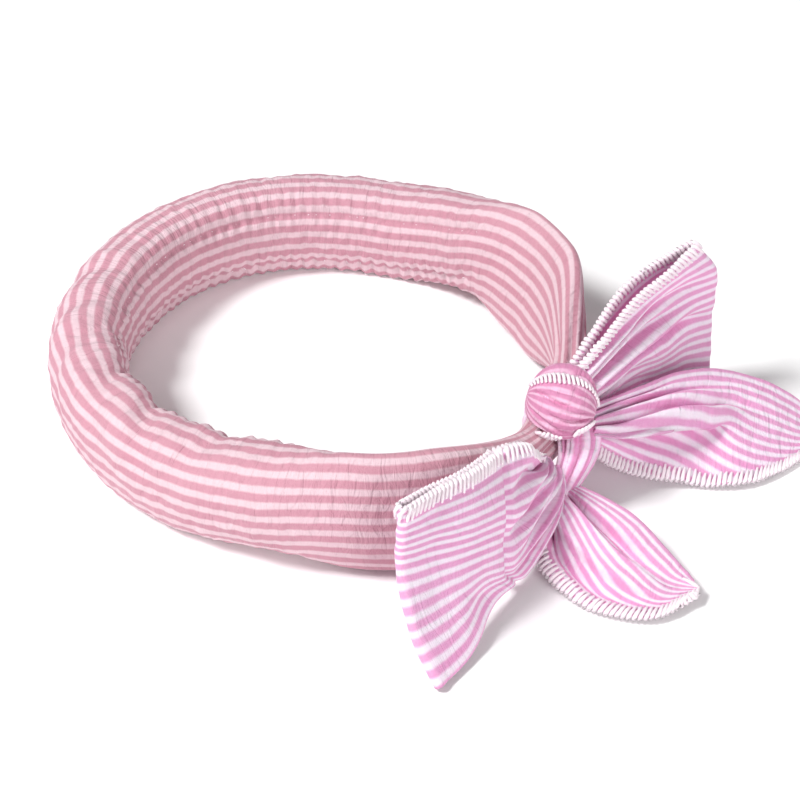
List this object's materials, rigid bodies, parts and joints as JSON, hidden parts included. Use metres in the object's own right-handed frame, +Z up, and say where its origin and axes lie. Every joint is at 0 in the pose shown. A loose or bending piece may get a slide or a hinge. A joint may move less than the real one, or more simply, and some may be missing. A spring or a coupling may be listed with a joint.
{
  "type": "spa headband",
  "caption": "Padded, shirred fabric headband ring with flat ends drawn into a knot and tied in a soft bow with loops, tails and overlocked edges.",
  "frame": {"origin": "middle of the underside of the whole outline, on the surface it stands on", "axes": "+Z up through the head opening, -Y towards the bow, +X to the wearer's left side of the bow as seen from the front"},
  "size_m": [0.1976, 0.2534, 0.0624],
  "materials": {
    "band_cover": "matte woven cotton, pink and white stripes lengthwise",
    "bow_strip": "matte woven cotton, pink and white stripes lengthwise",
    "overlock": "white overlock sewing thread",
    "thread": "white elastic sewing thread",
    "foam": "open-cell sponge, hidden inside the cover",
    "elastic": "knitted elastic tape, hidden inside the cover"
  },
  "bodies": {
    "padded_ring": {"cover_padded": "band_cover", "foam_core": "foam", "elastic_strip": "elastic", "shirring_thread_upper": "thread", "shirring_thread_lower": "thread"},
    "tied_front": {"cover_end_left": "band_cover", "cover_end_right": "band_cover", "knot_strap": "bow_strip", "knot_wrap": "bow_strip", "knot_edging": "overlock"},
    "lower_loop": {"lower_loop": "bow_strip", "lower_loop_edging": "overlock"},
    "upper_loop": {"upper_loop": "bow_strip", "upper_loop_edging": "overlock"},
    "right_tail": {"right_tail": "bow_strip", "right_tail_edging": "overlock"},
    "lower_tail": {"lower_tail": "bow_strip", "lower_tail_edging": "overlock"}
  },
  "joints": [
    {"name": "ring_stretch", "type": "slide", "parent": "padded_ring", "child": "tied_front", "axis": [0, -1, 0], "range_m": [0, 0.03], "stiffness_N_per_m": 100},
    {"name": "lower_loop_swing", "type": "hinge", "parent": "tied_front", "child": "lower_loop", "pos_m": [-0.01482, -0.06053, 0.031], "axis": [0, 0, 1], "range_deg": [-3, 30]},
    {"name": "upper_loop_swing", "type": "hinge", "parent": "tied_front", "child": "upper_loop", "pos_m": [0.01268, -0.06303, 0.036], "axis": [0, 0, 1], "range_deg": [-3, 20]},
    {"name": "right_tail_lift", "type": "hinge", "parent": "tied_front", "child": "right_tail", "pos_m": [0.00518, -0.06953, 0.03], "axis": [0.8, 0.6, 0], "range_deg": [0, 40]},
    {"name": "lower_tail_swing", "type": "hinge", "parent": "tied_front", "child": "lower_tail", "pos_m": [-0.00732, -0.06203, 0.012], "axis": [0, 0, 1], "range_deg": [0, 25]}
  ]
}
